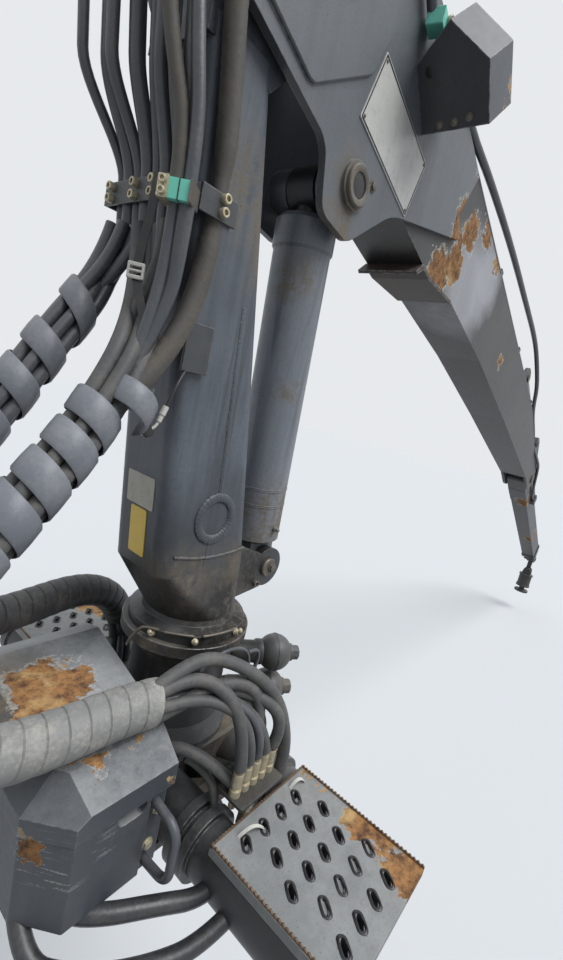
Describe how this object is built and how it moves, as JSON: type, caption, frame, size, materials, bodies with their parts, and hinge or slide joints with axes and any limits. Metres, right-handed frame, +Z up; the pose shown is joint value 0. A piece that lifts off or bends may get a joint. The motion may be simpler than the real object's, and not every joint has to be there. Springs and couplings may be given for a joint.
{
  "type": "forestry forwarder loading crane",
  "caption": "Knuckle-boom loading crane of a forestry forwarder: slewing base with steps, pillar, lift and jib cylinders, booms with telescope, hoses and a rotator.",
  "frame": {"origin": "centre of the base plate's underside, where the slewing axis meets the mounting plane", "axes": "+X along the parked boom, to the machine's rear; +Y to the machine's right; +Z up the slewing axis"},
  "size_m": [7.7171, 1.53, 3.5119],
  "materials": {
    "crane_paint": "satin, worn charcoal with grease and dirt",
    "boom_paint": "satin blue-grey, worn, rusty at the edges",
    "cylinder_paint": "matt, dusty",
    "step_steel": "worn black with rust at the corners",
    "chrome_rod": "polished",
    "pin_steel": "dull",
    "sign_white": "blank",
    "sign_yellow": "blank",
    "sign_alloy": "blank, dull",
    "clamp_block": "matt turquoise",
    "hose_black": "matt",
    "zinc_fitting": "cream zinc",
    "rotator_iron": "painted dark grey"
  },
  "bodies": {
    "base": {"base_plate": "crane_paint", "rack_housing": "crane_paint", "slew_column": "crane_paint", "slew_tube_front": "crane_paint", "slew_tube_rear": "crane_paint", "step_plate_near": "step_steel", "step_plate_far": "step_steel", "valve_shelf": "crane_paint", "valve_housing": "crane_paint", "valve_lid": "crane_paint", "valve_handle": "crane_paint", "fitting_bracket": "crane_paint", "hose_fittings": "zinc_fitting", "supply_block": "crane_paint", "accumulators": "crane_paint"},
    "pillar": {"pillar": "crane_paint", "lift_foot": "crane_paint", "lift_foot_pin": "pin_steel", "data_plate": "sign_alloy", "notice_plate": "sign_yellow", "hose_bar": "crane_paint", "hose_clamps": "clamp_block", "pillar_hoses": "hose_black", "hose_loop_low": "hose_black", "hose_loop_high": "hose_black", "root_hoses": "hose_black"},
    "lift_barrel": {"lift_barrel": "cylinder_paint"},
    "lift_rod": {"lift_rod": "chrome_rod"},
    "main_boom": {"main_boom": "crane_paint", "root_plate_near": "boom_paint", "root_plate_far": "boom_paint", "lift_pins": "pin_steel", "pivot_pin": "pin_steel", "rub_plate": "boom_paint", "boom_sign": "sign_white", "guard_hood": "crane_paint", "jib_pin": "pin_steel", "knuckle_pin": "pin_steel", "boom_hoses": "hose_black", "boom_hose_clamps": "clamp_block", "knuckle_hoses": "hose_black"},
    "jib_barrel": {"jib_barrel": "cylinder_paint"},
    "jib_rod": {"jib_rod": "chrome_rod"},
    "outer_boom": {"outer_boom": "crane_paint", "horn_pins": "pin_steel", "hose_ports": "crane_paint"},
    "first_extension": {"first_extension": "crane_paint"},
    "second_extension": {"second_extension": "crane_paint", "tip_pin": "pin_steel"},
    "tip_link": {"tip_link": "rotator_iron"},
    "rotator": {"rotator": "rotator_iron"},
    "rotator_flange": {"rotator_flange": "rotator_iron"}
  },
  "joints": [
    {"name": "slew", "type": "hinge", "parent": "base", "child": "pillar", "pos_m": [0, 0, 0.5], "axis": [0, 0, 1], "range_deg": [-190, 190], "deforming": ["hose_loop_low", "hose_loop_high"]},
    {"name": "lift", "type": "hinge", "parent": "pillar", "child": "main_boom", "pos_m": [-0.02, 0, 2.05], "axis": [0, -1, 0], "range_deg": [-1, 85], "deforming": ["root_hoses"]},
    {"name": "lift_barrel_swing", "type": "hinge", "parent": "pillar", "child": "lift_barrel", "pos_m": [0.225, 0, 0.64], "axis": [0, -1, 0], "range_deg": [-12, 3]},
    {"name": "lift_rod_slide", "type": "slide", "parent": "lift_barrel", "child": "lift_rod", "axis": [-0.0595, 0, 0.9982], "range_m": [-0.008, 0.5]},
    {"name": "knuckle", "type": "hinge", "parent": "main_boom", "child": "outer_boom", "pos_m": [4.01519, 0, 0.88393], "axis": [0, -1, 0], "range_deg": [-120, 6], "deforming": ["knuckle_hoses"]},
    {"name": "jib_barrel_swing", "type": "hinge", "parent": "main_boom", "child": "jib_barrel", "pos_m": [2.88976, 0, 1.65409], "axis": [0, -1, 0], "range_deg": [-6, 2]},
    {"name": "jib_rod_slide", "type": "slide", "parent": "jib_barrel", "child": "jib_rod", "axis": [0.9201, 0, -0.3918], "range_m": [-0.04, 0.62]},
    {"name": "extend", "type": "slide", "parent": "outer_boom", "child": "first_extension", "axis": [0.9063, 0, -0.4226], "range_m": [0, 1.5]},
    {"name": "extend_second", "type": "slide", "parent": "first_extension", "child": "second_extension", "axis": [0.9063, 0, -0.4226], "range_m": [0, 1.5]},
    {"name": "link_swing", "type": "hinge", "parent": "second_extension", "child": "tip_link", "pos_m": [6.83381, 0, -0.43041], "axis": [0, 1, 0], "range_deg": [-110, 65]},
    {"name": "cross_swing", "type": "hinge", "parent": "tip_link", "child": "rotator", "pos_m": [6.83381, 0, -0.62041], "axis": [1, 0, 0], "range_deg": [-40, 40]},
    {"name": "rotate", "type": "hinge", "parent": "rotator", "child": "rotator_flange", "pos_m": [6.83381, 0, -0.87471], "axis": [0, 0, 1], "continuous": true}
  ],
  "couplings": [
    {"joint": "lift_barrel_swing", "follows": "lift", "ratio": -0.12},
    {"joint": "lift_rod_slide", "follows": "lift", "m_per_rad": 0.31},
    {"joint": "jib_barrel_swing", "follows": "knuckle", "ratio": 0.035},
    {"joint": "jib_rod_slide", "follows": "knuckle", "m_per_rad": -0.29},
    {"joint": "extend_second", "follows": "extend", "ratio": 1}
  ]
}
